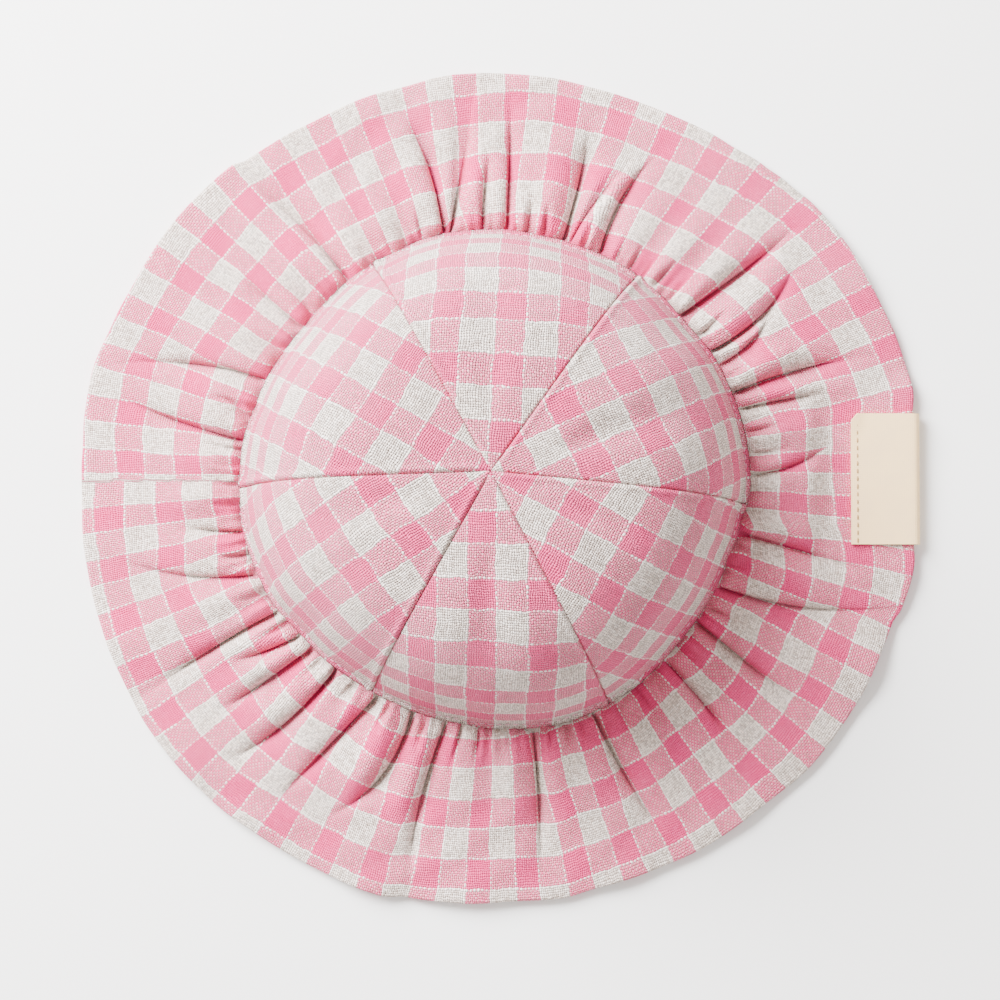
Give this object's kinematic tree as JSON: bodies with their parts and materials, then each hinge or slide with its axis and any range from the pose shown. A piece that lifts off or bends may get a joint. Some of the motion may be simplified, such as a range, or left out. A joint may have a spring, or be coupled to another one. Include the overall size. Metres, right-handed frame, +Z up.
{
  "type": "sun hat",
  "caption": "Baby's cloth sun hat with a rounded crown of sewn gores, a wide gathered brim in checked cloth and a plain label folded over the brim's edge.",
  "frame": {"origin": "on the surface that the hat lies on, under the middle of its bounding box", "axes": "+Z up out of the top of the crown, +X towards the label, +Y to the left of +X as seen from above"},
  "size_m": [0.2554, 0.2528, 0.0641],
  "materials": {
    "checked_cloth": "plain woven linen and cotton in pink and off-white checks, matt",
    "label_ribbon": "smooth cream ribbon, matt"
  },
  "bodies": {
    "root": {"brim": "checked_cloth", "crown_gore_1": "checked_cloth", "crown_gore_2": "checked_cloth", "crown_gore_3": "checked_cloth", "crown_gore_4": "checked_cloth", "crown_gore_5": "checked_cloth", "crown_gore_6": "checked_cloth", "label": "label_ribbon"}
  },
  "joints": []
}
